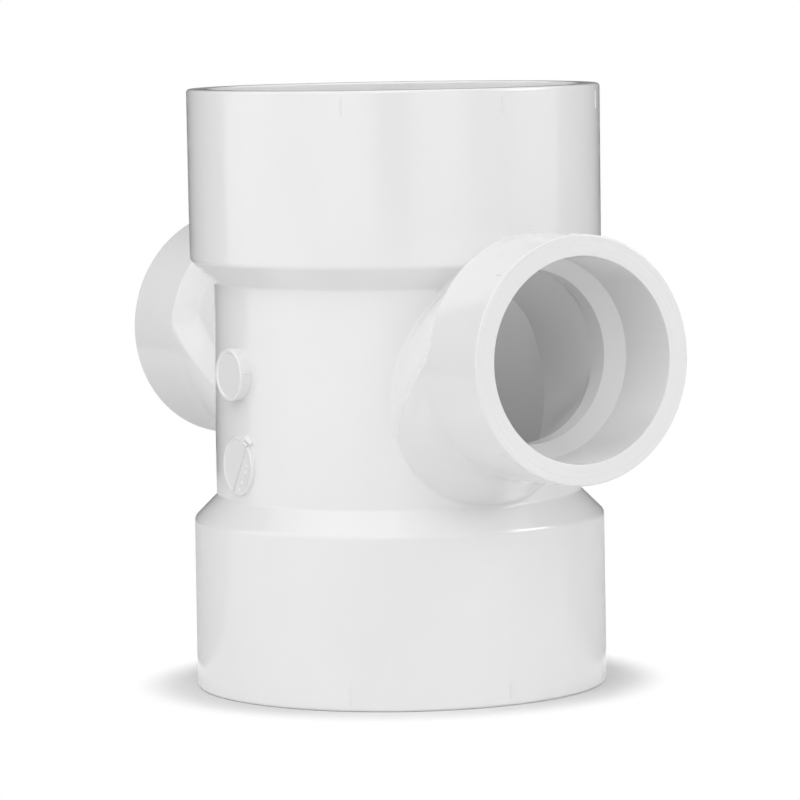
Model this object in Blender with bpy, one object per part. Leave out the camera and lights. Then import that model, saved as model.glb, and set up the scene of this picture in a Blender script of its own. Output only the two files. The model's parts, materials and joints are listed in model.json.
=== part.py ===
# Double sanitary tee for drain pipe: a straight run with a hub socket at each end,
# and a smaller hub socket swept down into it on each side. One moulded piece.
# Metres, +Z up. The origin is the centre of the lower hub's rim. The branches
# point along +X and -X, and the gate boss and the date disc face -Y.

import math

import bmesh
import bpy

# Run, for 4 in. pipe
RUN_HEIGHT = 0.1863
RUN_WATERWAY_RADIUS = 0.0510
RUN_WALL = 0.0060
RUN_SOCKET_DEPTH = 0.0465
RUN_SOCKET_MOUTH_RADIUS = 0.0574
RUN_SOCKET_TAPER = 0.0004
RUN_HUB_WALL = 0.0066
RUN_HUB_DRAFT = 0.00015
RUN_HUB_PAST_SOCKET = 0.0064

# Branches, for 2 in. pipe
BRANCH_HEIGHT = 0.1045
BRANCH_PITCH = math.radians(1.5)
BRANCH_STAND = 0.0492
BRANCH_WATERWAY_RADIUS = 0.0260
BRANCH_WALL = 0.0051
BRANCH_SOCKET_DEPTH = 0.0226
BRANCH_SOCKET_MOUTH_RADIUS = 0.0304
BRANCH_SOCKET_TAPER = 0.0002
BRANCH_HUB_WALL = 0.0065
BRANCH_HUB_PAST_SOCKET = 0.0036

# The sweep: past its socket each branch turns down towards the run
SWEEP_ANGLE = math.radians(28)
SWEEP_BEND = 0.0040

# Outside shoulders, and the cone that stops the pipe at the bottom of a socket
SHOULDER_ANGLE = math.radians(45)
STOP_ANGLE = math.radians(36.5)

# Edges
RIM_ROUND = 0.0010
MOUTH_CHAMFER = 0.0005
SHOULDER_ROUND = 0.0022
BARREL_ROUND = 0.0012
NECK_ROUND = 0.0015

# Gate boss and date disc, both on the -Y side of the barrel
BOSS_HEIGHT = 0.0996
BOSS_RADIUS = 0.0081
BOSS_STAND = 0.0033
BOSS_LIP_WIDTH = 0.0009
BOSS_LIP_HEIGHT = 0.0003
DISC_HEIGHT = 0.0714
DISC_RADIUS = 0.0091
DISC_STAND = 0.0007
DISC_EDGE = 0.0003

# Facets
RUN_STEPS = 72
BRANCH_STEPS = 48
BOSS_STEPS = 32
ARC_STEP = math.radians(24)
BEND_STEP = 0.0010
SHARP_ANGLE = math.radians(30)

# How far a cutter runs past the face that it cuts
OVERRUN = 0.0050

WHITE_PLASTIC = (0.86, 0.86, 0.85, 1.0)
WHITE_PLASTIC_ROUGHNESS = 0.35

# What lines up with the sizes above
BARREL_RADIUS = RUN_WATERWAY_RADIUS + RUN_WALL
RUN_SOCKET_BOTTOM_RADIUS = RUN_SOCKET_MOUTH_RADIUS - RUN_SOCKET_TAPER
RUN_HUB_RADIUS = RUN_SOCKET_MOUTH_RADIUS + RUN_HUB_WALL
RUN_HUB_LENGTH = RUN_SOCKET_DEPTH + RUN_HUB_PAST_SOCKET
NECK_RADIUS = BRANCH_WATERWAY_RADIUS + BRANCH_WALL
BRANCH_REACH = BARREL_RADIUS + BRANCH_STAND
BRANCH_SOCKET_BOTTOM = BRANCH_REACH - BRANCH_SOCKET_DEPTH
BRANCH_SOCKET_BOTTOM_RADIUS = BRANCH_SOCKET_MOUTH_RADIUS - BRANCH_SOCKET_TAPER
BRANCH_HUB_RADIUS = BRANCH_SOCKET_MOUTH_RADIUS + BRANCH_HUB_WALL
BRANCH_SHOULDER = BRANCH_SOCKET_BOTTOM - BRANCH_HUB_PAST_SOCKET
BRANCH_STOP_LENGTH = (BRANCH_SOCKET_BOTTOM_RADIUS - BRANCH_WATERWAY_RADIUS) / math.tan(STOP_ANGLE)
SWEEP_START = BRANCH_SOCKET_BOTTOM - BRANCH_STOP_LENGTH
SWEEP_INNER_END = RUN_WATERWAY_RADIUS / 2
ROOT_DISTANCE = RUN_WATERWAY_RADIUS + RUN_WALL / 2


def clear_scene():
    for obj in list(bpy.data.objects):
        bpy.data.objects.remove(obj, do_unlink=True)


def plastic(name, color, roughness):
    material = bpy.data.materials.new(name)
    material.use_nodes = True
    shader = material.node_tree.nodes["Principled BSDF"]
    shader.inputs["Base Color"].default_value = color
    shader.inputs["Roughness"].default_value = roughness
    return material


def rounded(corners):
    """The outline through these (across, along, radius) corners, each turned with its own radius."""
    points = []
    for i, (x, y, radius) in enumerate(corners):
        if radius == 0:
            points.append((x, y))
            continue
        before = corners[i - 1]
        after = corners[i + 1]
        start = math.atan2(before[1] - y, before[0] - x)
        end = math.atan2(after[1] - y, after[0] - x)
        opening = (end - start + math.pi) % (2 * math.pi) - math.pi
        turn = math.pi - abs(opening)
        middle = start + opening / 2
        reach = radius / math.cos(turn / 2)
        centre_x = x + reach * math.cos(middle)
        centre_y = y + reach * math.sin(middle)
        first = middle + math.pi + math.copysign(turn / 2, opening)
        parts = max(1, math.ceil(turn / ARC_STEP))
        for k in range(parts + 1):
            angle = first - math.copysign(turn, opening) * k / parts
            points.append((centre_x + radius * math.cos(angle), centre_y + radius * math.sin(angle)))
    return points


def turned(name, outline, steps):
    """A solid of revolution about Z. The outline is (radius, height) points from the top down."""
    mesh = bpy.data.meshes.new(name)
    edges = [(i, i + 1) for i in range(len(outline) - 1)]
    mesh.from_pydata([(radius, 0, height) for radius, height in outline], edges, [])
    obj = bpy.data.objects.new(name, mesh)
    bpy.context.scene.collection.objects.link(obj)
    screw = obj.modifiers.new("turn", "SCREW")
    screw.axis = "Z"
    screw.steps = steps
    screw.render_steps = steps
    screw.use_merge_vertices = True
    screw.merge_threshold = 0.000001
    return obj


def stacked(name, rings):
    """A closed skin over rings of points, capped at both ends."""
    shape = bmesh.new()
    loops = [[shape.verts.new(point) for point in ring] for ring in rings]
    for one, two in zip(loops, loops[1:]):
        for i in range(len(one)):
            j = (i + 1) % len(one)
            shape.faces.new((one[i], one[j], two[j], two[i]))
    shape.faces.new(loops[0][::-1])
    shape.faces.new(loops[-1])
    bmesh.ops.recalc_face_normals(shape, faces=shape.faces)
    mesh = bpy.data.meshes.new(name)
    shape.to_mesh(mesh)
    shape.free()
    obj = bpy.data.objects.new(name, mesh)
    bpy.context.scene.collection.objects.link(obj)
    return obj


def width_at(outline, place):
    """The half width at this place on an outline of (half width, place) points that runs inwards."""
    for (width, outer), (next_width, inner) in zip(outline, outline[1:]):
        if inner <= place <= outer and inner != outer:
            return width + (next_width - width) * (outer - place) / (outer - inner)
    return outline[-1][0]


def sweep_drop(place):
    """How far the sweep's centre line has dropped below the branch's axis."""
    run = max(SWEEP_START - place, 0)
    slope = math.tan(SWEEP_ANGLE)
    if run < SWEEP_BEND:
        return slope * run * run / (2 * SWEEP_BEND)
    return slope * (run - SWEEP_BEND / 2)


def section(place, half_width, above, below):
    """One ring of a branch: an oval about the sweep's centre line, in the branch's own frame."""
    ring = []
    for i in range(BRANCH_STEPS):
        angle = 2 * math.pi * (i + 0.5) / BRANCH_STEPS
        half_height = above if math.sin(angle) > 0 else below
        height = half_height * math.sin(angle) - sweep_drop(place)
        ring.append((place, half_width * math.cos(angle), height))
    return ring


def stations(outline):
    """Places along a branch from its mouth in: the outline's own, and closer ones in the bend."""
    places = {place for _, place in outline}
    count = math.ceil(SWEEP_BEND / BEND_STEP)
    places |= {SWEEP_START - SWEEP_BEND * k / count for k in range(count + 1)}
    return sorted(places, reverse=True)


def branch_outside(name):
    """Hub, shoulder and swept neck, ending inside the run's waterway."""
    neck = BRANCH_SHOULDER - (BRANCH_HUB_RADIUS - NECK_RADIUS) / math.tan(SHOULDER_ANGLE)
    outline = rounded([
        (0, BRANCH_REACH, 0),
        (BRANCH_HUB_RADIUS, BRANCH_REACH, RIM_ROUND),
        (BRANCH_HUB_RADIUS, BRANCH_SHOULDER, SHOULDER_ROUND),
        (NECK_RADIUS, neck, NECK_ROUND),
        (NECK_RADIUS, SWEEP_INNER_END, 0),
    ])
    # The mouth is closed by a cap, so its centre point isn't a ring
    outline = outline[1:]
    # Cut straight across, a tube that slopes down is taller than it is wide
    slant = NECK_RADIUS / math.cos(SWEEP_ANGLE)
    rings = []
    for place in stations(outline):
        half_width = width_at(outline, place)
        above = half_width
        below = half_width
        if place < BRANCH_SHOULDER:
            # The hub's underside runs on level until the sweep comes out of it
            above = max(half_width, slant)
            below = max(above, BRANCH_HUB_RADIUS - sweep_drop(place))
        rings.append(section(place, half_width, above, below))
    return stacked(name, rings)


def branch_bore(name):
    """Socket, stop and swept waterway, as a cutter."""
    flare = MOUTH_CHAMFER + OVERRUN
    outline = [
        (BRANCH_SOCKET_MOUTH_RADIUS + flare, BRANCH_REACH + OVERRUN),
        (BRANCH_SOCKET_MOUTH_RADIUS, BRANCH_REACH - MOUTH_CHAMFER),
        (BRANCH_SOCKET_BOTTOM_RADIUS, BRANCH_SOCKET_BOTTOM),
        (BRANCH_WATERWAY_RADIUS, SWEEP_START),
        (BRANCH_WATERWAY_RADIUS, SWEEP_INNER_END),
    ]
    rings = []
    for place in stations(outline):
        half_width = width_at(outline, place)
        bent = min(max((SWEEP_START - place) / SWEEP_BEND, 0), 1)
        half_height = half_width * (1 + bent * (1 / math.cos(SWEEP_ANGLE) - 1))
        rings.append(section(place, half_width, half_height, half_height))
    return stacked(name, rings)


def run_outside(name):
    shoulder = (RUN_HUB_RADIUS - BARREL_RADIUS) / math.tan(SHOULDER_ANGLE)
    lower_half = [
        (BARREL_RADIUS, RUN_HUB_LENGTH + shoulder, BARREL_ROUND),
        (RUN_HUB_RADIUS, RUN_HUB_LENGTH, SHOULDER_ROUND),
        (RUN_HUB_RADIUS + RUN_HUB_DRAFT, 0, RIM_ROUND),
        (0, 0, 0),
    ]
    upper_half = [(radius, RUN_HEIGHT - height, turn) for radius, height, turn in lower_half[::-1]]
    return turned(name, rounded(upper_half + lower_half), RUN_STEPS)


def run_bore(name):
    """Both sockets, their stops and the waterway between them, as a cutter."""
    stop = (RUN_SOCKET_BOTTOM_RADIUS - RUN_WATERWAY_RADIUS) / math.tan(STOP_ANGLE)
    flare = MOUTH_CHAMFER + OVERRUN
    lower_half = [
        (RUN_WATERWAY_RADIUS, RUN_SOCKET_DEPTH + stop),
        (RUN_SOCKET_BOTTOM_RADIUS, RUN_SOCKET_DEPTH),
        (RUN_SOCKET_MOUTH_RADIUS, MOUTH_CHAMFER),
        (RUN_SOCKET_MOUTH_RADIUS + flare, -OVERRUN),
        (0, -OVERRUN),
    ]
    upper_half = [(radius, RUN_HEIGHT - height) for radius, height in lower_half[::-1]]
    return turned(name, upper_half + lower_half, RUN_STEPS)


def facing_out(obj, height):
    """Turns a solid that stands on Z to stand out of the barrel's -Y side."""
    obj.location = (0, 0, height)
    obj.rotation_euler = (math.pi / 2, 0, 0)
    return obj


def gate_boss(name):
    """The stub left where the plastic entered the mould, with a low lip round its face."""
    lip = BARREL_RADIUS + BOSS_STAND
    face = lip - BOSS_LIP_HEIGHT
    outline = [
        (0, face),
        (BOSS_RADIUS - BOSS_LIP_WIDTH, face),
        (BOSS_RADIUS - BOSS_LIP_WIDTH + BOSS_LIP_HEIGHT, lip),
        (BOSS_RADIUS - BOSS_LIP_HEIGHT, lip),
        (BOSS_RADIUS, face),
        (BOSS_RADIUS, ROOT_DISTANCE),
        (0, ROOT_DISTANCE),
    ]
    return facing_out(turned(name, outline, BOSS_STEPS), BOSS_HEIGHT)


def date_disc(name):
    face = BARREL_RADIUS + DISC_STAND
    outline = [
        (0, face),
        (DISC_RADIUS - DISC_EDGE, face),
        (DISC_RADIUS, face - DISC_EDGE),
        (DISC_RADIUS, ROOT_DISTANCE),
        (0, ROOT_DISTANCE),
    ]
    return facing_out(turned(name, outline, BOSS_STEPS), DISC_HEIGHT)


def place_branch(obj, turn):
    """Puts a piece that lies along +X at a branch's height and pitch, turned about the run."""
    obj.location = (0, 0, BRANCH_HEIGHT)
    obj.rotation_euler = (0, -BRANCH_PITCH, turn)
    return obj


def shape_with(body, operation, helper):
    boolean = body.modifiers.new(helper.name, "BOOLEAN")
    boolean.operation = operation
    boolean.solver = "EXACT"
    boolean.object = helper
    helper.hide_render = True
    helper.display_type = "WIRE"


def smooth_between_edges(body):
    """Takes the body's finished shape as its mesh, smooth everywhere but at its edges."""
    graph = bpy.context.evaluated_depsgraph_get()
    mesh = bpy.data.meshes.new_from_object(body.evaluated_get(graph))
    body.modifiers.clear()
    body.data = mesh
    mesh.shade_smooth()
    mesh.set_sharp_from_angle(angle=SHARP_ANGLE)


def tee_body():
    sides = (("right", 0), ("left", math.pi))
    body = run_outside("tee_body")
    for side, turn in sides:
        shape_with(body, "UNION", place_branch(branch_outside(f"{side}_branch"), turn))
    shape_with(body, "UNION", gate_boss("gate_boss"))
    shape_with(body, "UNION", date_disc("date_disc"))
    shape_with(body, "DIFFERENCE", run_bore("run_bore"))
    for side, turn in sides:
        shape_with(body, "DIFFERENCE", place_branch(branch_bore(f"{side}_bore"), turn))
    smooth_between_edges(body)
    body.data.materials.append(plastic("white_plastic", WHITE_PLASTIC, WHITE_PLASTIC_ROUGHNESS))


clear_scene()
tee_body()
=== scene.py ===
import json
import math

import bpy
import numpy as np
from mathutils import Matrix, Vector
from mathutils.geometry import delaunay_2d_cdt

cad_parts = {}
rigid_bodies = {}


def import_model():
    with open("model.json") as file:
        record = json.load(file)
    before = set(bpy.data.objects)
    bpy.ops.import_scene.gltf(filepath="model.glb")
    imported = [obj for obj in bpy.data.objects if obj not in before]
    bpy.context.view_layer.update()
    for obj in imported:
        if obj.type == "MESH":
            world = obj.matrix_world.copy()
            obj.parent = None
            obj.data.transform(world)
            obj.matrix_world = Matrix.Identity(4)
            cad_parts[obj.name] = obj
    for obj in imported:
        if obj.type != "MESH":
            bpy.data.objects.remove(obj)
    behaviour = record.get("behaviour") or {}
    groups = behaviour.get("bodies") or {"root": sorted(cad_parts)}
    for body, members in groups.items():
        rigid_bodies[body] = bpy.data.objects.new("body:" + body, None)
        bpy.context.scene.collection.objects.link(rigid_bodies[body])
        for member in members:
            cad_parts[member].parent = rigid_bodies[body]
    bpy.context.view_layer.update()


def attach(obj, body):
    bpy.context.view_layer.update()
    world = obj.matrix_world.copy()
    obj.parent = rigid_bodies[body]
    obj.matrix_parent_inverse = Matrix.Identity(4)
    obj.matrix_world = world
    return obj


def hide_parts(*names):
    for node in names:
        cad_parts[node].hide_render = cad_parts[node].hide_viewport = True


for leftover in list(bpy.data.objects):  # Blender's own cube, lamp and camera
    bpy.data.objects.remove(leftover)
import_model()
mm = 0.001  # shapes are worked out in millimetres and made in metres


# Outlines: points and outward normals of a profile, every corner turned with its own radius

def unit(v):
    return v / np.linalg.norm(v, axis=-1, keepdims=True)


def rightOf(d):
    return np.stack((d[..., 1], -d[..., 0]), axis=-1)


def roundedOutline(corners, closed, stepAngle=11):
    # corners are (across, along, radius); material lies to the left of the way round
    points, normals = [], []
    for i, (x, y, radius) in enumerate(corners):
        here = np.array((x, y), float)
        ways = []
        if closed or i > 0:
            ways.append(unit(here - np.array(corners[i - 1][:2], float)))
        if closed or i < len(corners) - 1:
            ways.append(unit(np.array(corners[(i + 1) % len(corners)][:2], float) - here))
        if len(ways) == 1:
            points.append(here)
            normals.append(rightOf(ways[0]))
            continue
        start = math.atan2(ways[0][1], ways[0][0])
        end = math.atan2(ways[1][1], ways[1][0])
        turn = (end - start + math.pi) % (2 * math.pi) - math.pi
        side = math.copysign(1, turn)
        centre = here - ways[0] * radius * math.tan(abs(turn) / 2) - rightOf(ways[0]) * radius * side
        parts = max(2, math.ceil(math.degrees(abs(turn)) / stepAngle))
        for k in range(parts + 1):
            angle = start + turn * k / parts
            normal = np.array((math.sin(angle), -math.cos(angle)))
            points.append(centre + normal * radius * side)
            normals.append(normal)
    return np.array(points), np.array(normals)


def divided(points, normals, longest, closed):
    # the same outline with its long straight stretches cut into shorter ones
    newPoints, newNormals = [], []
    last = len(points) if closed else len(points) - 1
    for i in range(last):
        a, b = points[i], points[(i + 1) % len(points)]
        parts = max(1, math.ceil(np.linalg.norm(b - a) / longest))
        for k in range(parts):
            newPoints.append(a + (b - a) * k / parts)
            newNormals.append(normals[i] if k == 0 else unit(normals[i] + normals[(i + 1) % len(points)]))
    if not closed:
        newPoints.append(points[-1])
        newNormals.append(normals[-1])
    return np.array(newPoints), np.array(newNormals)


def softMax(a, b, blend):
    # the larger of two numbers, blended where they are close, and its slope with a
    near = np.maximum(blend - np.abs(a - b), 0) / blend
    return np.maximum(a, b) + near ** 2 * blend / 4, np.where(a >= b, 1 - near / 2, near / 2)


# The tee body

tee = {
    "height": 186.3,
    "runBore": 51.0,
    "barrel": 57.0,
    "runHub": 64.0,
    "runHubRim": 64.15,
    "runHubLength": 52.9,
    "runSocketMouth": 57.4,
    "runSocketBottom": 57.0,
    "runSocketDepth": 46.5,
    "branchHeight": 104.5,
    "branchPitch": 1.5,
    "branchReach": 106.18,
    "branchBore": 26.0,
    "neck": 31.1,
    "branchHub": 36.9,
    "branchRimRound": 0.55,
    "branchMouthRound": 0.3,
    # fine rings pressed into the branch's rim face: radius, half width, depth
    "rimRings": [(34.65, 0.4, 0.07), (33.0, 0.35, 0.03)],
    "branchShoulder": 80.0,
    "pastShoulder": 1.5,  # so far out from it the neck's rules still hold
    "branchSocketMouth": 30.55,
    "branchSocketBottom": 30.2,
    "branchSocketDepth": 22.6,
    "sweepAngle": 28.0,
    "sweepBend": 4.0,
    "flowBendFrom": 72.0,
    "flowBend": 3.0,
    # below the sweep's centre line the hub runs on to the barrel, narrowing to the neck here
    "bellyFoot": 50.0,
    "bellyRound": 24.0,
    # the band where the neck turns into it, as the sine of its angle:
    # its middle at the hub, its middle at the foot, and its half width
    "bellyEdge": (0.12, -0.1, 0.15),
    "shoulderAngle": 45.0,
    "stopAngle": 36.5,
    "rimRound": 1.0,
    "mouthChamfer": 0.5,
    "shoulderRound": 2.2,
    "barrelRound": 1.2,
    "neckRound": 1.5,
    "smallRound": 0.25,
    "stopRound": 0.6,
    "crotchRound": 1.1,
    "flowEdgeRound": 0.5,
    "undersideBlend": 3.0,
    # the mesh: columns round, and the longest row along the run's and the branch's outline
    "runColumns": 256,
    "branchColumns": 168,
    "columnsCrowded": 0.25,  # towards a branch's sides, where the belly meets the neck
    "rowLength": 3.2,
    "branchRowLength": 3.0,
    "outlineFrom": 72.0,  # nearer to the run than this, the values below space a branch's rows
    "filletRows": 6,
    "neckRows": 14,
    "flowRows": 18,
    "flowEdgeRows": 5,
    "flowCrowded": 1.4,
    # a branch's foot is looked for from here, down to these places outside and inside, in these steps
    "footFrom": 71.5,
    "footDownTo": (40, 30),
    "footStep": 0.25,
    "windowGap": 0.4,  # between a foot and the nearest kept point of the run
    "windowMargin": 3,  # rows and columns of the run that its window takes beyond the foot
}


def degTan(angle):
    return math.tan(math.radians(angle))


# the inner end of a branch's stop, from where its neck bends down outside
sweepStart = (tee["branchReach"] - tee["branchSocketDepth"]
              - (tee["branchSocketBottom"] - tee["branchBore"]) / degTan(tee["stopAngle"]))
sweepSlope = degTan(tee["sweepAngle"])
sweepStretch = 1 / math.cos(math.radians(tee["sweepAngle"]))


def runOutline():
    shoulder = (tee["runHub"] - tee["barrel"]) / degTan(tee["shoulderAngle"])
    stop = (tee["runSocketBottom"] - tee["runBore"]) / degTan(tee["stopAngle"])
    top = tee["height"]
    small, edge = tee["smallRound"], tee["mouthChamfer"]
    outside = [
        (tee["runHubRim"], 0, tee["rimRound"]),
        (tee["runHub"], tee["runHubLength"], tee["shoulderRound"]),
        (tee["barrel"], tee["runHubLength"] + shoulder, tee["barrelRound"]),
    ]
    inside = [
        (tee["runBore"], tee["runSocketDepth"] + stop, tee["stopRound"]),
        (tee["runSocketBottom"], tee["runSocketDepth"], small),
        (tee["runSocketMouth"], edge, small),
        (tee["runSocketMouth"] + edge, 0, small),
    ]
    upper = [(r, top - z, turn) for r, z, turn in outside[::-1]]
    upperInside = [(r, top - z, turn) for r, z, turn in inside[::-1]]
    return roundedOutline(outside + upper + upperInside + inside, closed=True)


def branchOutline():
    neckPlace = tee["branchShoulder"] - (tee["branchHub"] - tee["neck"]) / degTan(tee["shoulderAngle"])
    reach, small = tee["branchReach"], tee["smallRound"]
    rings = []
    for radius, half, depth in tee["rimRings"]:
        turn = half / 3
        rings += [(radius + half, reach, turn), (radius, reach - depth, turn), (radius - half, reach, turn)]
    return roundedOutline([
        (tee["neck"], tee["outlineFrom"], 0),
        (tee["neck"], neckPlace, tee["neckRound"]),
        (tee["branchHub"], tee["branchShoulder"], tee["shoulderRound"]),
        (tee["branchHub"], reach, tee["branchRimRound"]),
    ] + rings + [
        (tee["branchSocketMouth"], reach, tee["branchMouthRound"]),
        (tee["branchSocketBottom"], reach - tee["branchSocketDepth"], small),
        (tee["branchBore"], sweepStart, tee["stopRound"]),
        (tee["branchBore"], tee["outlineFrom"], 0),
    ], closed=False)


def bentLine(start, bend, slope, s):
    # how far a line that is bent down from start has fallen at s, and its slope there
    run = np.maximum(start - s, 0)
    fall = np.where(run < bend, slope * run * run / (2 * bend), slope * (run - bend / 2))
    return fall, -slope * np.minimum(run / bend, 1)


def branchSurface(half, s, n, theta, inner):
    # points and outward normals on a branch; n is the outline's normal (across, along)
    tS, tR = n[..., 0], -n[..., 1]
    c, sn = np.cos(theta), np.sin(theta)
    wide, dWide, wideTurn = half, tR, 0 * c
    if inner:
        start, bend = tee["flowBendFrom"], tee["flowBend"]
        drop, dropSlope = bentLine(start, bend, sweepSlope, s)
        bent = np.clip((start - s) / bend, 0, 1)
        bentSlope = np.where((bent > 0) & (bent < 1), -1 / bend, 0)
        above = half * (1 + bent * (sweepStretch - 1))
        dAbove = tR * (1 + bent * (sweepStretch - 1)) + half * bentSlope * tS * (sweepStretch - 1)
        below, dBelow = above, dAbove
    else:
        drop, dropSlope = bentLine(sweepStart, tee["sweepBend"], sweepSlope, s)
        length = tee["branchShoulder"] - tee["bellyFoot"]
        narrowing = (tee["branchHub"] - tee["neck"]) / (length - tee["bellyRound"] / 2)
        lost, lostSlope = bentLine(tee["branchShoulder"], tee["bellyRound"], narrowing, s)
        belly = tee["branchHub"] - lost
        swept = s < tee["branchShoulder"] + tee["pastShoulder"]
        fuller = (belly > half) & swept
        atHub, atFoot, band = tee["bellyEdge"]
        middle = atHub + (atFoot - atHub) * (tee["branchShoulder"] - s) / length
        t = np.clip(0.5 + (middle - sn) / (2 * band), 0, 1)
        share = np.where(fuller, t * t * (3 - 2 * t), 0)
        turning = np.where(fuller, 6 * t * (1 - t) / (2 * band) * (belly - half), 0)
        wide = half + share * (belly - half)
        dWide = tR + share * (-lostSlope * tS - tR) + turning * (atHub - atFoot) / length * tS
        wideTurn = -turning * c
        slant = tee["neck"] * sweepStretch
        rise, share = softMax(half, slant, tee["undersideBlend"])
        above = np.where(swept, rise, half)
        dAbove = np.where(swept, share * tR, tR)
        fall, share = softMax(tee["branchHub"] - drop, slant, tee["undersideBlend"])
        below = np.where(swept, fall, half)
        dBelow = np.where(swept, -share * dropSlope * tS, tR)
    tall = np.where(sn > 0, above, below)
    dTall = np.where(sn > 0, dAbove, dBelow)
    points = np.stack((s + 0 * c, wide * c, tall * sn - drop), axis=-1)
    along = np.stack((tS + 0 * c, dWide * c, dTall * sn - dropSlope * tS), axis=-1)
    around = np.stack((0 * c, -wide * sn + wideTurn * c, tall * c), axis=-1)
    normals = unit(np.cross(around, along))
    return points, normals


def placedBranch(v, place=True):
    # from the right branch's own frame (along, across, up) to the tee's
    pitch = math.radians(tee["branchPitch"])
    x = v[..., 0] * math.cos(pitch) - v[..., 2] * math.sin(pitch)
    z = v[..., 0] * math.sin(pitch) + v[..., 2] * math.cos(pitch)
    out = np.stack((x, v[..., 1], z), axis=-1)
    if place:
        out[..., 2] += tee["branchHeight"]
    return out


def nearestOn(outline, r, z):
    # distance to an outline in its plane, the normal at the nearest point and its place along the outline
    points, normals, lengths = outline
    a, b = points[:-1], points[1:]
    ab = b - a
    p = np.stack((r, z), axis=-1)[..., None, :]
    t = np.clip(((p - a) * ab).sum(-1) / (ab * ab).sum(-1), 0, 1)
    near = a + ab * t[..., None]
    distance = np.linalg.norm(p - near, axis=-1)
    best = distance.argmin(-1)
    t = np.take_along_axis(t, best[..., None], -1)[..., 0]
    normal = unit(normals[best] * (1 - t)[..., None] + normals[best + 1] * t[..., None])
    place = lengths[best] + t * np.linalg.norm(ab[best], axis=-1)
    return distance.min(-1), normal, place


def turnedNormals(a, b, parts, parallel=0.0001):
    # unit vectors from a round to b; closer than the angle parallel they are mixed straight
    angle = np.arccos(np.clip((a * b).sum(-1), -1, 1))[..., None]
    rows = []
    for k in range(parts + 1):
        t = k / parts
        flat = angle < parallel
        safe = np.where(flat, 1, np.sin(angle))
        mixed = (np.sin((1 - t) * angle) * a + np.sin(t * angle) * b) / safe
        rows.append(unit(np.where(flat, a * (1 - t) + b * t, mixed)))
    return rows


def insideLoop(p, loop):
    # which points lie inside a closed loop, by the edges to their right
    a, b = loop, np.roll(loop, -1, axis=0)
    crosses = (a[:, 1] > p[:, None, 1]) != (b[:, 1] > p[:, None, 1])
    safe = np.where(a[:, 1] == b[:, 1], 1, b[:, 1] - a[:, 1])
    x = a[:, 0] + (p[:, None, 1] - a[:, 1]) * (b[:, 0] - a[:, 0]) / safe
    return (crosses & (p[:, None, 0] < x)).sum(-1) % 2 == 1


def nearLoop(p, loop):
    # the distance from every point to a closed loop
    a, ab = loop, np.roll(loop, -1, axis=0) - loop
    t = np.clip(((p[:, None] - a) * ab).sum(-1) / (ab * ab).sum(-1), 0, 1)
    return np.linalg.norm(p[:, None] - a - ab * t[..., None], axis=-1).min(-1)


def solveDown(gap, low, halvings=40):
    # for every column, the first place on the way down a branch where the gap closes
    places = np.arange(tee["footFrom"], low, -tee["footStep"])
    gaps = np.array([gap(np.full(tee["branchColumns"], s)) for s in places])
    first = np.argmax(gaps <= 0, axis=0)
    outer, inner = places[first - 1], places[first]
    for _ in range(halvings):
        middle = (outer + inner) / 2
        closed = gap(middle) <= 0
        inner = np.where(closed, middle, inner)
        outer = np.where(closed, outer, middle)
    return (outer + inner) / 2


def branchRows(runLine, theta):
    # one branch as rings, from its foot on the barrel out to its rim and in to its foot in the bore
    straightOut = np.broadcast_to((1.0, 0.0), (len(theta), 2))
    straightIn = -straightOut

    def outsideAt(s):
        p, n = branchSurface(tee["neck"], s, straightOut, theta, inner=False)
        return placedBranch(p), placedBranch(n, place=False)

    def insideAt(s):
        p, n = branchSurface(tee["branchBore"], s, straightIn, theta, inner=True)
        return placedBranch(p), placedBranch(n, place=False)

    ball = tee["crotchRound"]

    def outerGap(s):
        p, n = outsideAt(s)
        c = p + ball * n
        return nearestOn(runLine, np.hypot(c[:, 0], c[:, 1]), c[:, 2])[0] - ball

    edge = tee["flowEdgeRound"]

    def innerGap(s):
        p, n = insideAt(s)
        c = p - edge * n
        return np.hypot(c[:, 0], c[:, 1]) - tee["runBore"] - edge

    rows = []
    start, count = tee["outlineFrom"], tee["neckRows"]
    foot = solveDown(outerGap, tee["footDownTo"][0])
    p, n = outsideAt(foot)
    centre = p + ball * n
    _, lineNormal, outerPlace = nearestOn(runLine, np.hypot(centre[:, 0], centre[:, 1]), centre[:, 2])
    outerAngle = np.arctan2(centre[:, 1], centre[:, 0])
    runNormal = np.stack((np.cos(outerAngle) * lineNormal[:, 0], np.sin(outerAngle) * lineNormal[:, 0],
                          lineNormal[:, 1]), axis=-1)
    for normal in turnedNormals(runNormal, n, tee["filletRows"]):
        rows.append((centre - ball * normal, normal))
    for k in range(1, count):
        rows.append(outsideAt(foot + (start - foot) * k / count))
    points, normals = divided(*branchOutline(), tee["branchRowLength"], closed=False)
    outward = np.argmax(points[:, 1])  # up to the rim the outline is the outside
    for i, (point, normal) in enumerate(zip(points, normals)):
        half, s = point
        inner = i > outward
        along, facing = np.full(len(theta), s), np.broadcast_to(normal, (len(theta), 2))
        p, n = branchSurface(half, along, facing, theta, inner)
        rows.append((placedBranch(p), placedBranch(n, place=False)))
    foot, count = solveDown(innerGap, tee["footDownTo"][1]), tee["flowRows"]
    for k in range(1, count):
        rows.append(insideAt(foot + (start - foot) * (1 - (k / count) ** tee["flowCrowded"])))
    p, n = insideAt(foot)
    centre = p - edge * n
    innerAngle = np.arctan2(centre[:, 1], centre[:, 0])
    runNormal = np.stack((-np.cos(innerAngle), -np.sin(innerAngle), 0 * innerAngle), axis=-1)
    for normal in turnedNormals(n, runNormal, tee["flowEdgeRows"]):
        rows.append((centre + edge * normal, normal))
    _, _, innerPlace = nearestOn(runLine, np.full(len(theta), tee["runBore"]), centre[:, 2])
    return rows, (outerAngle, outerPlace), (innerAngle, innerPlace)


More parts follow.
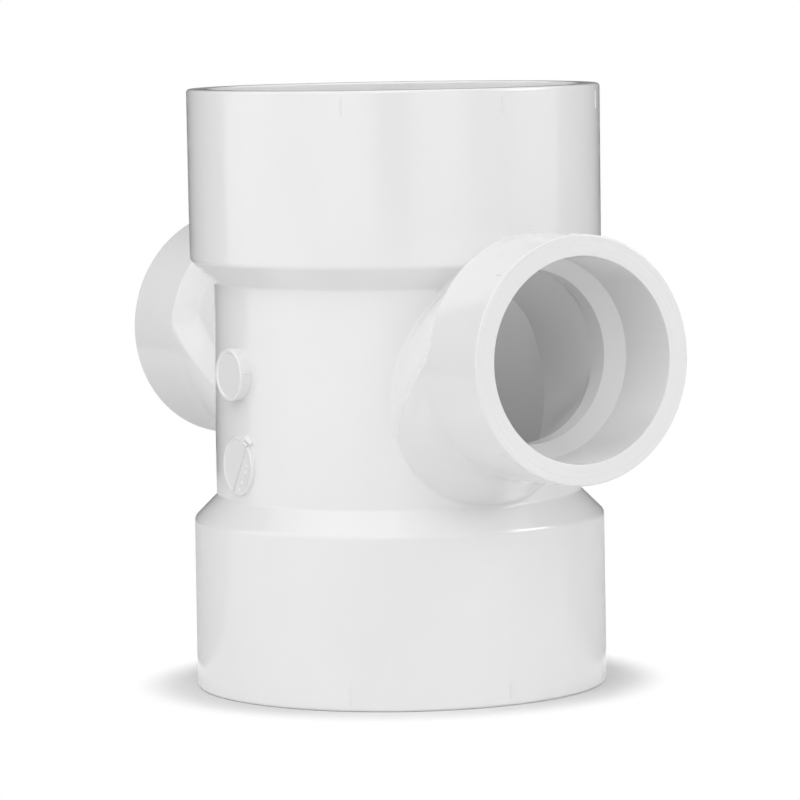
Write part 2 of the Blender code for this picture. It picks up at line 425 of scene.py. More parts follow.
def meshOf(name, points, normals, faces):
    used = np.unique(np.concatenate([np.ravel(f) for f in faces]))
    renumber = np.full(len(points), -1)
    renumber[used] = np.arange(len(used))
    mesh = bpy.data.meshes.new(name)
    mesh.from_pydata((points[used] * mm).tolist(), [], [[int(renumber[i]) for i in f] for f in faces])
    mesh.update()
    mesh.shade_smooth()
    mesh.normals_split_custom_set_from_vertices(unit(normals[used]).tolist())
    return mesh


def pieceOf(name, mesh):
    piece = bpy.data.objects.new(name, mesh)
    bpy.context.scene.collection.objects.link(piece)
    return piece


def runSurface():
    # the run as rings with no branches, and its outline in its plane with the place of every corner
    points, normals = divided(*runOutline(), tee["rowLength"], closed=True)
    around = np.arange(tee["runColumns"]) * 2 * math.pi / tee["runColumns"]
    c, s = np.cos(around), np.sin(around)
    turned = []
    for flat in (points, normals):
        out, up = flat[:, None, 0], flat[:, None, 1]
        turned.append(np.stack((out * c, out * s, up + 0 * c), axis=-1))
    closedPoints = np.vstack((points, points[:1]))
    lengths = np.concatenate(([0], np.cumsum(np.linalg.norm(np.diff(closedPoints, axis=0), axis=1))))
    return turned[0], turned[1], (closedPoints, np.vstack((normals, normals[:1])), lengths)


def windowFaces(foot, ring, turn, lengths, skipped):
    # triangles between a branch's foot and the run round it, whose own faces there are skipped
    mergeWithin, smallestArea = 0.000001, 0.000000001
    (angle, place), columns, scale = foot, tee["runColumns"], tee["barrel"]
    loop = np.stack((angle * scale, place), axis=-1)
    margin = tee["windowMargin"]
    reach = int(np.abs(angle).max() / (2 * math.pi) * columns) + margin
    low = int(np.searchsorted(lengths, place.min())) - margin
    high = int(np.searchsorted(lengths, place.max())) + margin
    side = np.arange(-reach, reach + 1)
    u, v = np.meshgrid(side * 2 * math.pi / columns * scale, lengths[low:high + 1])
    flat = np.stack((u.ravel(), v.ravel()), axis=-1)
    row, column = np.divmod(np.arange(len(flat)), len(side))
    border = (row == 0) | (row == high - low) | (column == 0) | (column == len(side) - 1)
    keep = border | ~(insideLoop(flat, loop) | (nearLoop(flat, loop) < tee["windowGap"]))
    ids = (low + row) * columns + (side[column] + turn * columns // 2) % columns
    spots = [Vector(p) for p in np.vstack((flat[keep], loop)).tolist()]
    names = np.concatenate((ids[keep], ring + np.arange(len(loop))))
    first = int(keep.sum())
    edges = [(first + j, first + (j + 1) % len(loop)) for j in range(len(loop))]
    made = delaunay_2d_cdt(spots, edges, [], 0, mergeWithin)
    if any(len(source) != 1 for source in made[3]):
        print("window: a vertex was added or merged")
    where = np.array([tuple(p) for p in made[0]])
    triangles = np.array(made[2])
    source = names[[s[0] for s in made[3]]]
    faces = []
    for triangle in triangles[~insideLoop(where[triangles].mean(axis=1), loop)]:
        (ax, ay), (bx, by), (cx, cy) = where[triangle]
        area = (bx - ax) * (cy - ay) - (cx - ax) * (by - ay)
        if abs(area) >= smallestArea:
            faces.append(tuple(source[triangle if area > 0 else triangle[::-1]]))
    for r in range(low, high):
        for c in range(-reach, reach):
            skipped[r, (c + turn * columns // 2) % columns] = True
    return faces


def ringFaces(start, rows, columns):
    # the faces between rows of points that each go once round
    faces = []
    for i in range(rows - 1):
        a, b = start + i * columns, start + (i + 1) * columns
        for j in range(columns):
            k = (j + 1) % columns
            faces.append((a + j, a + k, b + k, b + j))
    return faces


def makeTee():
    columns, spokes = tee["runColumns"], tee["branchColumns"]
    runPoints, runNormals, runLine = runSurface()
    rows, lengths = len(runPoints), runLine[2]
    theta = (np.arange(spokes) + 0.5) * 2 * math.pi / spokes
    theta -= tee["columnsCrowded"] * np.sin(2 * theta)
    branch, outerFoot, innerFoot = branchRows(runLine, theta)
    branchPoints = np.array([p for p, _ in branch])
    branchNormals = np.array([n for _, n in branch])
    opposite = np.array((-1, -1, 1))  # half a turn about the run
    allPoints = np.vstack([p.reshape(-1, 3) for p in (runPoints, branchPoints, branchPoints * opposite)])
    allNormals = np.vstack([n.reshape(-1, 3) for n in (runNormals, branchNormals, branchNormals * opposite)])
    faces = []
    skipped = np.zeros((rows, columns), bool)
    for turn in (0, 1):
        start = rows * columns + turn * len(branch) * spokes
        faces += ringFaces(start, len(branch), spokes)
        faces += windowFaces(outerFoot, start, turn, lengths, skipped)
        faces += windowFaces(innerFoot, start + (len(branch) - 1) * spokes, turn, lengths, skipped)
    for r in range(rows):
        for c in range(columns):
            if not skipped[r, c]:
                d, s = (c + 1) % columns, (r + 1) % rows
                faces.append((r * columns + c, r * columns + d, s * columns + d, s * columns + c))
    return pieceOf("tee", meshOf("tee", allPoints, allNormals, faces))


teePiece = makeTee()
print("tee body:", len(teePiece.data.polygons), "faces")


# The gate boss and the date disc, both on the barrel's front

boss = {
    "height": 99.6,
    "radius": 8.1,
    "stand": 3.3,
    "lipWidth": 1.35,
    "lipHeight": 0.35,
    "edgeRound": 0.25,
    "root": 54.0,  # its hidden end, inside the barrel's wall
    "rootRound": 0.01,
    "columns": 96,
}

disc = {
    "height": 71.4,
    "radius": 9.1,
    "stand": 0.7,
    "edge": 0.3,
    "edgeRound": 0.1,
    "lipWidth": 0.55,
    "lipHeight": 0.15,
    "lipRound": 0.05,
    "root": 54.0,
    "rootRound": 0.01,
    "columns": 96,
    "shaftFrom": (-2.74, -7.97),  # on the disc's face, across and up from its centre
    "shaftTo": (5.94, 6.24),
    "shaftWidth": 1.1,
    "shaftDepth": 0.5,
    # half widths of the slot's floor and of its cutter's top, as shares of the width
    "shaftHalves": (0.46, 0.6),
    "cutterAbove": 1,  # so far the cutter stands out of the face
    "shaftEndParts": 8,
    "sharpFrom": 5,  # degrees between two faces of the cut disc
    "head": [(1.9, 57.95, 7.0), (3.35, 57.95, 8.2), (4.8, 57.85, 9.1), (6.4, 57.6, 8.2), (7.9, 57.35, 7.2)],
    "headWidth": 1.5,
    "headStand": 0.38,
    "dots": [(5.5, 0.4), (5.0, -1.7), (2.4, -5.0), (0.4, -7.3)],
    "dotWidth": 1.4,
    "dotStand": 0.36,
}


def turnedOut(name, corners, columns, height):
    # a closed turned solid on the barrel's front; corners are (radius, out from the run's axis, rounding)
    capped = [(0, corners[0][1], 0)] + corners + [(0, corners[-1][1], 0)]
    points, normals = roundedOutline(capped, closed=False)
    angles = np.arange(columns) * 2 * math.pi / columns
    c, s = np.cos(angles), np.sin(angles)
    rings, ringNormals = [], []
    for (radius, out), (across, along) in list(zip(points, normals))[1:-1]:
        rings.append(np.stack((radius * c, 0 * c - out, height + radius * s), axis=-1))
        ringNormals.append(np.stack((across * c, 0 * c - along, across * s), axis=-1))
    count = len(rings)
    allPoints = np.vstack(rings + [[(0, -points[0][1], height), (0, -points[-1][1], height)]])
    allNormals = np.vstack(ringNormals + [[(0, 1, 0), (0, -1, 0)]])
    faces = []
    for j in range(columns):
        k = (j + 1) % columns
        faces.append((count * columns, k, j))
        for i in range(count - 1):
            a, b = i * columns, (i + 1) * columns
            faces.append((a + j, a + k, b + k, b + j))
        a = (count - 1) * columns
        faces.append((a + j, a + k, count * columns + 1))
    return pieceOf(name, meshOf(name, allPoints, allNormals, faces))


def makeBoss():
    lip = tee["barrel"] + boss["stand"]
    face, r, e = lip - boss["lipHeight"], boss["radius"], boss["edgeRound"]
    inner = r - boss["lipWidth"]
    return turnedOut("gate_boss", [
        (r, boss["root"], boss["rootRound"]),
        (r, face, e),
        (r - boss["lipHeight"], lip, e),
        (inner + boss["lipHeight"], lip, e),
        (inner, face, e),
    ], boss["columns"], boss["height"])


def cutShaft(piece):
    # a round-ended slot with leaning walls, cut into the disc's face
    (x0, z0), (x1, z1) = disc["shaftFrom"], disc["shaftTo"]
    face = tee["barrel"] + disc["stand"] - disc["lipHeight"]
    along = math.atan2(z1 - z0, x1 - x0)
    parts = disc["shaftEndParts"]
    rings = []
    for out, share in zip((face - disc["shaftDepth"], face + disc["cutterAbove"]), disc["shaftHalves"]):
        half = disc["shaftWidth"] * share
        ring = []
        for x, z, start in ((x1, z1, along - math.pi / 2), (x0, z0, along + math.pi / 2)):
            for k in range(parts + 1):
                a = start + math.pi * k / parts
                ring.append((x + half * math.cos(a), -out, disc["height"] + z + half * math.sin(a)))
        rings.append(ring)
    count = len(rings[0])
    faces = [(j, (j + 1) % count, count + (j + 1) % count, count + j) for j in range(count)]
    faces += [tuple(range(count))[::-1], tuple(range(count, 2 * count))]
    mesh = bpy.data.meshes.new("shaft")
    mesh.from_pydata((np.array(rings[0] + rings[1]) * mm).tolist(), [], faces)
    cutter = pieceOf("shaft", mesh)
    slot = piece.modifiers.new("shaft", "BOOLEAN")
    slot.operation = "DIFFERENCE"
    slot.solver = "EXACT"
    slot.object = cutter
    graph = bpy.context.evaluated_depsgraph_get()
    cut = bpy.data.meshes.new_from_object(piece.evaluated_get(graph))
    piece.modifiers.clear()
    piece.data = cut
    bpy.data.objects.remove(cutter)
    for old in [a for a in cut.attributes if a.name == "custom_normal"]:
        cut.attributes.remove(old)  # they no longer fit the cut faces
    cut.shade_smooth()
    cut.set_sharp_from_angle(angle=math.radians(disc["sharpFrom"]))


def makeDisc():
    top, r, e = tee["barrel"] + disc["stand"], disc["radius"], disc["edge"]
    inner, low = r - e - disc["lipWidth"], top - disc["lipHeight"]
    piece = turnedOut("date_disc", [
        (r, disc["root"], disc["rootRound"]),
        (r, top - e, disc["edgeRound"]),
        (r - e, top, disc["edgeRound"]),
        (inner, top, disc["lipRound"]),
        (inner - disc["lipHeight"], low, disc["lipRound"]),
    ], disc["columns"], disc["height"])
    cutShaft(piece)
    return piece


bossPiece = makeBoss()
discPiece = makeDisc()
print("gate boss and date disc:", len(bossPiece.data.polygons) + len(discPiece.data.polygons), "faces")


# Raised marks: lines round the hubs, ridges along a path, and dots, all made by Geometry Nodes

marks = {
    "linesPerHub": 8,
    "bareEvery": 4,  # of every four lines,
    "bareLine": 2,  # the one at the front or back of the tee is left bare
    "lineWidth": 0.6,
    "lineStand": 0.2,
    "lineRings": 15,
    "lineSides": 12,
    "lineBlunt": 12,  # the power of its length by which a line narrows
    "lineTip": 0.0004,  # keeps its ends from closing to a point
    "runLineSink": 0.02,  # below the rim, for the hubs' taper
    "runLineLength": 5.8,
    "runLineFromRim": 2.0,
    "branchLineLength": 3.6,
    "branchLineFromRim": 1.2,
    "seamWidth": 0.45,
    "seamStand": 0.2,
    "seamHeight": 0.8,  # above the middle of the boss
    "seamInset": 0.3,  # behind the boss's face
    "seamRoot": 55.0,
    "partingWidth": 0.6,
    "partingStand": 0.03,
    "partingInset": 1.0,  # from the hub's shoulder
    "beadSides": 24,
    "dotDivisions": 4,
    "sharpFrom": 50,  # degrees between two faces of a mark
}


def newTree(name, sizes):
    # a tree with a geometry in and out, a material and these named sizes
    tree = bpy.data.node_groups.new(name, "GeometryNodeTree")
    face = tree.interface
    face.new_socket("Geometry", in_out="INPUT", socket_type="NodeSocketGeometry")
    for label, kind in sizes:
        face.new_socket(label, in_out="INPUT", socket_type=kind)
    face.new_socket("Material", in_out="INPUT", socket_type="NodeSocketMaterial")
    face.new_socket("Geometry", in_out="OUTPUT", socket_type="NodeSocketGeometry")
    start = tree.nodes.new("NodeGroupInput")
    end = tree.nodes.new("NodeGroupOutput")
    realize = tree.nodes.new("GeometryNodeRealizeInstances")
    coat = tree.nodes.new("GeometryNodeSetMaterial")
    tree.links.new(realize.outputs[0], coat.inputs["Geometry"])
    tree.links.new(start.outputs["Material"], coat.inputs["Material"])
    tree.links.new(coat.outputs[0], end.inputs[0])
    return tree, start, realize.inputs[0]


def mathNode(tree, operation, *values):
    node = tree.nodes.new("ShaderNodeMath")
    node.operation = operation
    for socket, value in zip(node.inputs, values):
        if isinstance(value, (int, float)):
            socket.default_value = value
        else:
            tree.links.new(value, socket)
    return node.outputs[0]


def makeLineRing():
    # short bars that stand evenly round a circle
    tree, start, end = newTree("line ring", [
        ("Radius", "NodeSocketFloat"), ("Count", "NodeSocketInt"), ("Bare Line", "NodeSocketInt"),
        ("Length", "NodeSocketFloat"), ("Width", "NodeSocketFloat"), ("Stand", "NodeSocketFloat")])
    nodes, links = tree.nodes, tree.links
    circle = nodes.new("GeometryNodeMeshCircle")
    links.new(start.outputs["Count"], circle.inputs["Vertices"])
    links.new(start.outputs["Radius"], circle.inputs["Radius"])
    line = nodes.new("GeometryNodeCurvePrimitiveLine")
    half = mathNode(tree, "MULTIPLY", start.outputs["Length"], 0.5)
    for socket, sign in (("Start", -1), ("End", 1)):
        spot = nodes.new("ShaderNodeCombineXYZ")
        links.new(mathNode(tree, "MULTIPLY", half, sign), spot.inputs["Z"])
        links.new(spot.outputs[0], line.inputs[socket])
    rings = nodes.new("GeometryNodeResampleCurve")
    rings.inputs["Count"].default_value = marks["lineRings"]
    links.new(line.outputs[0], rings.inputs["Curve"])
    # full width along most of the line, and round towards both ends
    along = nodes.new("GeometryNodeSplineParameter")
    centred = mathNode(tree, "ABSOLUTE", mathNode(tree, "MULTIPLY_ADD", along.outputs["Factor"], 2, -1))
    lost = mathNode(tree, "POWER", centred, marks["lineBlunt"])
    left = mathNode(tree, "MAXIMUM", mathNode(tree, "SUBTRACT", 1 + marks["lineTip"], lost), 0)
    section = nodes.new("GeometryNodeCurvePrimitiveCircle")
    section.inputs["Resolution"].default_value = marks["lineSides"]
    section.inputs["Radius"].default_value = 1
    sweep = nodes.new("GeometryNodeCurveToMesh")
    sweep.inputs["Fill Caps"].default_value = True
    links.new(rings.outputs[0], sweep.inputs["Curve"])
    links.new(section.outputs[0], sweep.inputs["Profile Curve"])
    links.new(mathNode(tree, "SQRT", left), sweep.inputs["Scale"])
    flatten = nodes.new("GeometryNodeTransform")
    shape = nodes.new("ShaderNodeCombineXYZ")
    links.new(start.outputs["Stand"], shape.inputs["X"])
    links.new(mathNode(tree, "MULTIPLY", start.outputs["Width"], 0.5), shape.inputs["Y"])
    shape.inputs["Z"].default_value = 1
    links.new(sweep.outputs[0], flatten.inputs["Geometry"])
    links.new(shape.outputs[0], flatten.inputs["Scale"])
    index = nodes.new("GeometryNodeInputIndex")
    step = mathNode(tree, "DIVIDE", 2 * math.pi, start.outputs["Count"])
    turn = nodes.new("ShaderNodeCombineXYZ")
    links.new(mathNode(tree, "MULTIPLY", index.outputs[0], step), turn.inputs["Z"])
    facing = nodes.new("FunctionNodeEulerToRotation")
    links.new(turn.outputs[0], facing.inputs[0])
    place = nodes.new("GeometryNodeInstanceOnPoints")
    links.new(circle.outputs["Mesh"], place.inputs["Points"])
    links.new(flatten.outputs[0], place.inputs["Instance"])
    links.new(facing.outputs[0], place.inputs["Rotation"])
    turnIn = mathNode(tree, "MODULO", index.outputs[0], marks["bareEvery"])
    bare = mathNode(tree, "COMPARE", turnIn, start.outputs["Bare Line"], 0.5)
    links.new(mathNode(tree, "SUBTRACT", 1, bare), place.inputs["Selection"])
    links.new(place.outputs[0], end)
    return tree


def makeRidge():
    # a round bead along the edges of the mesh that it is given
    tree, start, end = newTree("ridge", [("Bead Radius", "NodeSocketFloat")])
    nodes, links = tree.nodes, tree.links
    path = nodes.new("GeometryNodeMeshToCurve")
    links.new(start.outputs["Geometry"], path.inputs["Mesh"])
    section = nodes.new("GeometryNodeCurvePrimitiveCircle")
    section.inputs["Resolution"].default_value = marks["beadSides"]
    links.new(start.outputs["Bead Radius"], section.inputs["Radius"])
    sweep = nodes.new("GeometryNodeCurveToMesh")
    sweep.inputs["Fill Caps"].default_value = True
    links.new(path.outputs[0], sweep.inputs["Curve"])
    links.new(section.outputs[0], sweep.inputs["Profile Curve"])
    links.new(sweep.outputs[0], end)
    return tree


def makeDots():
    # a ball on every point of the mesh that it is given, sunk so that a low dome shows
    tree, start, end = newTree("dots", [("Ball Radius", "NodeSocketFloat")])
    nodes, links = tree.nodes, tree.links
    ball = nodes.new("GeometryNodeMeshIcoSphere")
    ball.inputs["Subdivisions"].default_value = marks["dotDivisions"]
    links.new(start.outputs["Ball Radius"], ball.inputs["Radius"])
    place = nodes.new("GeometryNodeInstanceOnPoints")
    links.new(start.outputs["Geometry"], place.inputs["Points"])
    links.new(ball.outputs["Mesh"], place.inputs["Instance"])
    links.new(place.outputs[0], end)
    return tree


def beadRadius(width, stand):
    # the round section that shows this wide and this high above the face that it is sunk into
    return (stand ** 2 + (width / 2) ** 2) / (2 * stand)


def grown(name, tree, sizes, material, points=(), edges=()):
    # runs a tree on a mesh of points and edges and keeps the result as a plain mesh
    mesh = bpy.data.meshes.new(name)
    mesh.from_pydata((np.array(points).reshape(-1, 3) * mm).tolist(), list(edges), [])
    piece = pieceOf(name, mesh)
    grower = piece.modifiers.new(tree.name, "NODES")
    grower.node_group = tree
    values = dict(sizes, Material=material)
    for item in tree.interface.items_tree:
        if item.item_type == "SOCKET" and item.in_out == "INPUT" and item.name in values:
            grower[item.identifier] = values[item.name]
    graph = bpy.context.evaluated_depsgraph_get()
    result = bpy.data.meshes.new_from_object(piece.evaluated_get(graph))
    piece.modifiers.clear()
    piece.data = result
    result.shade_smooth()
    result.set_sharp_from_angle(angle=math.radians(marks["sharpFrom"]))
    return piece


# White plastic

plastic = {
    "color": (0.86, 0.86, 0.86),
    "flowColor": (0.845, 0.845, 0.845),  # where the melt ran cooler
    "speckColor": (0.74, 0.735, 0.725),
    # each pattern: the size of its features in metres, its detail and how it is stretched
    "flow": (0.03, 3, (1, 1, 0.5)),
    "rub": (0.012, 5, (1, 1, 2.5)),
    "waves": (0.022, 2, (1, 1, 1)),
    "grain": (0.0007, 3, (1, 1, 1)),
    "flowRange": (0.35, 0.65),  # the part of a pattern that is spread from end to end
    "rubRange": (0.35, 0.7),
    "roughness": (0.11, 0.2),
    "waveDepth": 0.00006,
    "grainDepth": 0.000006,
    "speckSize": 0.006,
    "speckRadius": 0.025,  # of a cell of the speck pattern
    "speckCore": 0.6,  # of that radius has the full colour
    "ior": 1.53,
}


def makePlastic():
    material = bpy.data.materials.new("white_plastic")
    material.use_nodes = True
    nodes, links = material.node_tree.nodes, material.node_tree.links
    shader = nodes["Principled BSDF"]
    shader.inputs["IOR"].default_value = plastic["ior"]
    place = nodes.new("ShaderNodeTexCoord").outputs["Object"]

    def noise(size, detail, stretch):
        spot = nodes.new("ShaderNodeMapping")
        spot.inputs["Scale"].default_value = stretch
        links.new(place, spot.inputs["Vector"])
        field = nodes.new("ShaderNodeTexNoise")
        field.inputs["Scale"].default_value = 1 / size
        field.inputs["Detail"].default_value = detail
        links.new(spot.outputs["Vector"], field.inputs["Vector"])
        return field.outputs["Fac"]

    def ranged(value, low, high, toLow, toHigh):
        node = nodes.new("ShaderNodeMapRange")
        for name, number in (("From Min", low), ("From Max", high), ("To Min", toLow), ("To Max", toHigh)):
            node.inputs[name].default_value = number
        links.new(value, node.inputs["Value"])
        return node.outputs["Result"]

    def mixed(share, a, b):
        node = nodes.new("ShaderNodeMix")
        node.data_type = "RGBA"
        links.new(share, node.inputs["Factor"])
        for socket, color in (("A", a), ("B", b)):
            ends = [s for s in node.inputs if s.name == socket and s.type == "RGBA"]
            if isinstance(color, tuple):
                ends[0].default_value = (*color, 1)
            else:
                links.new(color, ends[0])
        return [s for s in node.outputs if s.type == "RGBA"][0]

    # colour: the melt's slow drift, and rare dark specks
    drift = ranged(noise(*plastic["flow"]), *plastic["flowRange"], 0, 1)
    flow = mixed(drift, plastic["color"], plastic["flowColor"])
    cells = nodes.new("ShaderNodeTexVoronoi")
    cells.inputs["Scale"].default_value = 1 / plastic["speckSize"]
    links.new(place, cells.inputs["Vector"])
    radius = plastic["speckRadius"]
    speck = ranged(cells.outputs["Distance"], radius, radius * plastic["speckCore"], 0, 1)
    links.new(mixed(speck, flow, plastic["speckColor"]), shader.inputs["Base Color"])

    # gloss: an uneven polish with soft rub marks
    rub = ranged(noise(*plastic["rub"]), *plastic["rubRange"], *plastic["roughness"])
    links.new(rub, shader.inputs["Roughness"])

    # surface: a slow waviness from cooling and the mould's fine grain
    waves = nodes.new("ShaderNodeBump")
    waves.inputs["Distance"].default_value = plastic["waveDepth"]
    links.new(noise(*plastic["waves"]), waves.inputs["Height"])
    grain = nodes.new("ShaderNodeBump")
    grain.inputs["Distance"].default_value = plastic["grainDepth"]
    links.new(noise(*plastic["grain"]), grain.inputs["Height"])
    links.new(waves.outputs["Normal"], grain.inputs["Normal"])
    links.new(grain.outputs["Normal"], shader.inputs["Normal"])
    return material


whitePlastic = makePlastic()
print("white plastic:", len(whitePlastic.node_tree.nodes), "nodes")


def makeMarks():
    lineRing, ridge, dots = makeLineRing(), makeRidge(), makeDots()
    pieces = []
    middle = marks["runLineFromRim"] + marks["runLineLength"] / 2
    runSizes = {"Radius": (tee["runHubRim"] - marks["runLineSink"]) * mm, "Count": marks["linesPerHub"],
                "Bare Line": marks["bareLine"], "Length": marks["runLineLength"] * mm,
                "Width": marks["lineWidth"] * mm, "Stand": marks["lineStand"] * mm}
    for name, height in (("lower_hub_lines", middle), ("upper_hub_lines", tee["height"] - middle)):
        piece = grown(name, lineRing, runSizes, whitePlastic)
        piece.data.transform(Matrix.Translation((0, 0, height * mm)))
        pieces.append(piece)
    middle = tee["branchReach"] - marks["branchLineFromRim"] - marks["branchLineLength"] / 2
    branchSizes = dict(runSizes, Radius=tee["branchHub"] * mm, Length=marks["branchLineLength"] * mm)
    for name, turn in (("right_branch_lines", 0), ("left_branch_lines", math.pi)):
        piece = grown(name, lineRing, branchSizes, whitePlastic)
        piece.data.transform(
            Matrix.Rotation(turn, 4, "Z")
            @ Matrix.Translation((0, 0, tee["branchHeight"] * mm))
            @ Matrix.Rotation(-math.radians(tee["branchPitch"]), 4, "Y")
            @ Matrix.Translation((middle * mm, 0, 0))
            @ Matrix.Rotation(math.radians(90), 4, "Y"))
        pieces.append(piece)
    bead = beadRadius(disc["headWidth"], disc["headStand"])
    path = [(x, -(y - bead), disc["height"] + z) for x, y, z in disc["head"]]
    pieces.append(grown("arrow_head", ridge, {"Bead Radius": bead * mm}, whitePlastic,
                        path, [(i, i + 1) for i in range(len(path) - 1)]))
    ball = beadRadius(disc["dotWidth"], disc["dotStand"])
    face = tee["barrel"] + disc["stand"] - disc["lipHeight"]
    spots = [(x, -(face + disc["dotStand"] - ball), disc["height"] + z) for x, z in disc["dots"]]
    pieces.append(grown("disc_dots", dots, {"Ball Radius": ball * mm}, whitePlastic, spots))
    bead = beadRadius(marks["seamWidth"], marks["seamStand"])
    z = boss["height"] + marks["seamHeight"]
    x = math.sqrt(boss["radius"] ** 2 - marks["seamHeight"] ** 2) + marks["seamStand"] - bead
    front = tee["barrel"] + boss["stand"] - boss["lipHeight"] - marks["seamInset"]
    path = [(across, -out, z) for across in (x, -x) for out in (front, marks["seamRoot"])]
    pieces.append(grown("boss_seam", ridge, {"Bead Radius": bead * mm}, whitePlastic, path, [(0, 1), (2, 3)]))
    # the mould's parting line, up both sides of each hub
    bead = beadRadius(marks["partingWidth"], marks["partingStand"])
    top = tee["runHubLength"] - marks["partingInset"]
    ends = []
    for side in (1, -1):
        for out, z in ((tee["runHubRim"], tee["rimRound"]), (tee["runHub"], top)):
            ends.append((side * (out + marks["partingStand"] - bead), 0, z))
    path = ends + [(x, y, tee["height"] - z) for x, y, z in ends]
    pieces.append(grown("parting_lines", ridge, {"Bead Radius": bead * mm}, whitePlastic,
                        path, [(0, 1), (2, 3), (4, 5), (6, 7)]))
    return pieces


markPieces = makeMarks()
print("raised marks:", sum(len(p.data.polygons) for p in markPieces), "faces")

for piece in [teePiece, bossPiece, discPiece] + markPieces:
    piece.data.materials.clear()
    piece.data.materials.append(whitePlastic)
    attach(piece, "root")
    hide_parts("tee_body")


# Camera, from the photo's viewpoint

camera = {
    "place": (1.213717, -0.722889, 0.21642),
    "right": (0.51331625, 0.85804956, -0.01604283),
    "up": (-0.06933124, 0.06009444, 0.99578202),
    "forward": (-0.85539441, 0.51003883, -0.09033709),
    "lens": 204.33,
    "sensor": 36,
}


def makeCamera():
    data = bpy.data.cameras.new("camera")
    data.lens = camera["lens"]
    data.sensor_width = camera["sensor"]
    rig = bpy.data.objects.new("camera", data)
    bpy.context.scene.collection.objects.link(rig)
    matrix = Matrix((camera["right"], camera["up"], -Vector(camera["forward"]))).transposed().to_4x4()
    matrix.translation = camera["place"]
    rig.matrix_world = matrix
    bpy.context.scene.camera = rig


# Studio: a pale floor, a white background and soft lamps

studio = {
    "floorSize": 6.0,
    "floorColor": (0.8, 0.8, 0.8),
    "floorLitTo": 0.066,  # out to here the floor shows its lit colour, with the tee's shadow
    "floorWhiteFrom": 0.085,  # and from here on plain white, in the camera and in gloss
    "aim": (0, 0, 0.1),
    "distance": 1.7,  # of lamps and softboxes from the aim
    "cellWide": 5,  # degrees of a softbox's mesh
    "cellTall": 8,
    # curved softboxes: bearings from the camera, height angles, brightness
    "softboxes": {
        "left_front": (-40, -9, -2, 42, 1.5),
        "left_middle": (-70, -40, -2, 42, 0.82),
        "left_side": (-101, -70, -2, 42, 1.2),
        "left_top": (-101, -9, 42, 66, 1.6),
        "right_front": (9, 40, -2, 42, 1.12),
        "right_middle": (40, 70, -2, 42, 0.22),
        "right_side": (70, 96, -2, 18, 0.9),
        "right_top": (9, 96, 42, 66, 0.05),
        "behind_camera_low": (-9, 9, -2, 18, 0.3),
        "behind_camera_high": (-9, 9, 18, 66, 2.2),
        "left_back_top": (-180, -101, 42, 66, 0.8),
        "right_back_top": (96, 180, 42, 66, 0.8),
    },
    # lights the back and is kept out of the gloss, which a black card and a flat grey one fill instead
    "backFill": (96, 259, -2, 42, 0.4),
    # the last number is a card's distance from the aim
    "cards": [(96, 259, -10.2, 42, 0, 0.45), (96, 259, -50, -9, 0.53, None)],
    "cardLift": 0.002,  # of a card with no distance, which lies flat over the floor
    # lamps: bearing and height angle of the middle, width and height in degrees, brightness
    "lamps": {
        "right_side_high": (83, 30, 26, 24, 5.9),
        "overhead": (0, 90, 45, 45, 0.68),
    },
}


def cameraOrGlossy(tree):
    # one for what the camera sees itself, in gloss or through something clear, and else nothing
    path = tree.nodes.new("ShaderNodeLightPath").outputs
    either = mathNode(tree, "MAXIMUM", path["Is Camera Ray"], path["Is Glossy Ray"])
    return mathNode(tree, "MAXIMUM", either, path["Is Transmission Ray"])


def makeFloor():
    h = studio["floorSize"] / 2
    mesh = bpy.data.meshes.new("floor")
    mesh.from_pydata([(-h, -h, 0), (h, -h, 0), (h, h, 0), (-h, h, 0)], [], [(0, 1, 2, 3)])
    floor = pieceOf("floor", mesh)
    material = bpy.data.materials.new("pale_floor")
    material.use_nodes = True
    nodes, links = material.node_tree.nodes, material.node_tree.links
    nodes.clear()
    out = nodes.new("ShaderNodeOutputMaterial")
    diffuse = nodes.new("ShaderNodeBsdfDiffuse")
    diffuse.inputs["Color"].default_value = (*studio["floorColor"], 1)
    glow = nodes.new("ShaderNodeEmission")
    place = nodes.new("ShaderNodeTexCoord")
    away = nodes.new("ShaderNodeVectorMath")
    away.operation = "LENGTH"
    links.new(place.outputs["Object"], away.inputs[0])
    share = nodes.new("ShaderNodeMapRange")
    share.interpolation_type = "SMOOTHSTEP"
    share.inputs["From Min"].default_value = studio["floorLitTo"]
    share.inputs["From Max"].default_value = studio["floorWhiteFrom"]
    links.new(away.outputs["Value"], share.inputs["Value"])
    mix = nodes.new("ShaderNodeMixShader")
    seen = cameraOrGlossy(material.node_tree)
    white = mathNode(material.node_tree, "MULTIPLY", seen, share.outputs["Result"])
    links.new(white, mix.inputs[0])
    links.new(diffuse.outputs[0], mix.inputs[1])
    links.new(glow.outputs[0], mix.inputs[2])
    links.new(mix.outputs[0], out.inputs["Surface"])
    mesh.materials.append(material)


def makeWorld():
    world = bpy.data.worlds.new("studio")
    bpy.context.scene.world = world
    world.use_nodes = True
    background = world.node_tree.nodes["Background"]
    background.inputs["Color"].default_value = (1, 1, 1, 1)
    world.node_tree.links.new(cameraOrGlossy(world.node_tree), background.inputs["Strength"])


def wayTo(bearing, height):
    # the direction at this bearing from the camera's and this height angle
    x, y = camera["place"][:2]
    a, e = math.atan2(y, x) + math.radians(bearing), math.radians(height)
    return Vector((math.cos(a) * math.cos(e), math.sin(a) * math.cos(e), math.sin(e)))


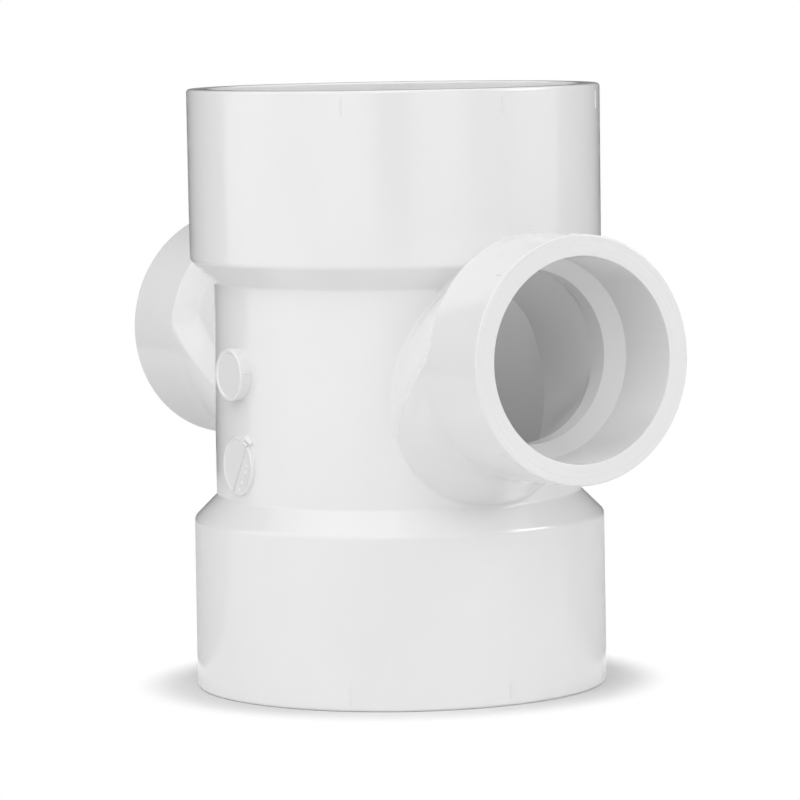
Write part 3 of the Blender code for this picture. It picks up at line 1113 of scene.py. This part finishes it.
def makeSoftbox(name, left, right, low, high, brightness, distance=studio["distance"]):
    # a glowing patch of a sphere round the tee, or of a flat ring round it, which the camera looks through
    columns = math.ceil((right - left) / studio["cellWide"])
    rows = math.ceil((high - low) / studio["cellTall"])
    points, faces = [], []
    for i in range(columns + 1):
        for j in range(rows + 1):
            way = wayTo(left + (right - left) * i / columns, low + (high - low) * j / rows)
            out = distance or (studio["aim"][2] - studio["cardLift"]) / -way.z
            points.append(Vector(studio["aim"]) + way * out)
            if i and j:
                k = i * (rows + 1) + j
                faces.append((k, k - 1, k - rows - 2, k - rows - 1))
    mesh = bpy.data.meshes.new(name)
    mesh.from_pydata(points, [], faces)
    material = bpy.data.materials.new(name)
    material.use_nodes = True
    nodes, links = material.node_tree.nodes, material.node_tree.links
    nodes.clear()
    out = nodes.new("ShaderNodeOutputMaterial")
    glow = nodes.new("ShaderNodeEmission")
    glow.inputs["Strength"].default_value = brightness
    links.new(glow.outputs[0], out.inputs["Surface"])
    mesh.materials.append(material)
    panel = pieceOf(name, mesh)
    panel.visible_camera = False
    return panel


def makeLamp(name, bearing, height, wide, tall, brightness):
    data = bpy.data.lights.new(name, "AREA")
    data.shape = "RECTANGLE"
    data.size = 2 * studio["distance"] * degTan(wide / 2)
    data.size_y = 2 * studio["distance"] * degTan(tall / 2)
    data.energy = brightness * math.pi * data.size * data.size_y
    lamp = bpy.data.objects.new(name, data)
    bpy.context.scene.collection.objects.link(lamp)
    back = wayTo(bearing, height)
    lamp.matrix_world = back.to_track_quat("Z", "Y").to_matrix().to_4x4()
    lamp.location = Vector(studio["aim"]) + back * studio["distance"]
    lamp.visible_camera = False


def makeStudio():
    for name, sizes in studio["softboxes"].items():
        makeSoftbox(name, *sizes)
    fill = makeSoftbox("back_fill", *studio["backFill"])
    fill.visible_glossy = False
    for sizes in studio["cards"]:
        card = makeSoftbox("card", *sizes)
        card.visible_diffuse = False
        card.visible_shadow = False
    for name, sizes in studio["lamps"].items():
        makeLamp(name, *sizes)


makeCamera()
makeFloor()
makeWorld()
makeStudio()
print("studio:", len(studio["softboxes"]) + 1, "softboxes and", len(studio["lamps"]), "lamps")
bpy.context.scene.view_settings.view_transform = "Standard"
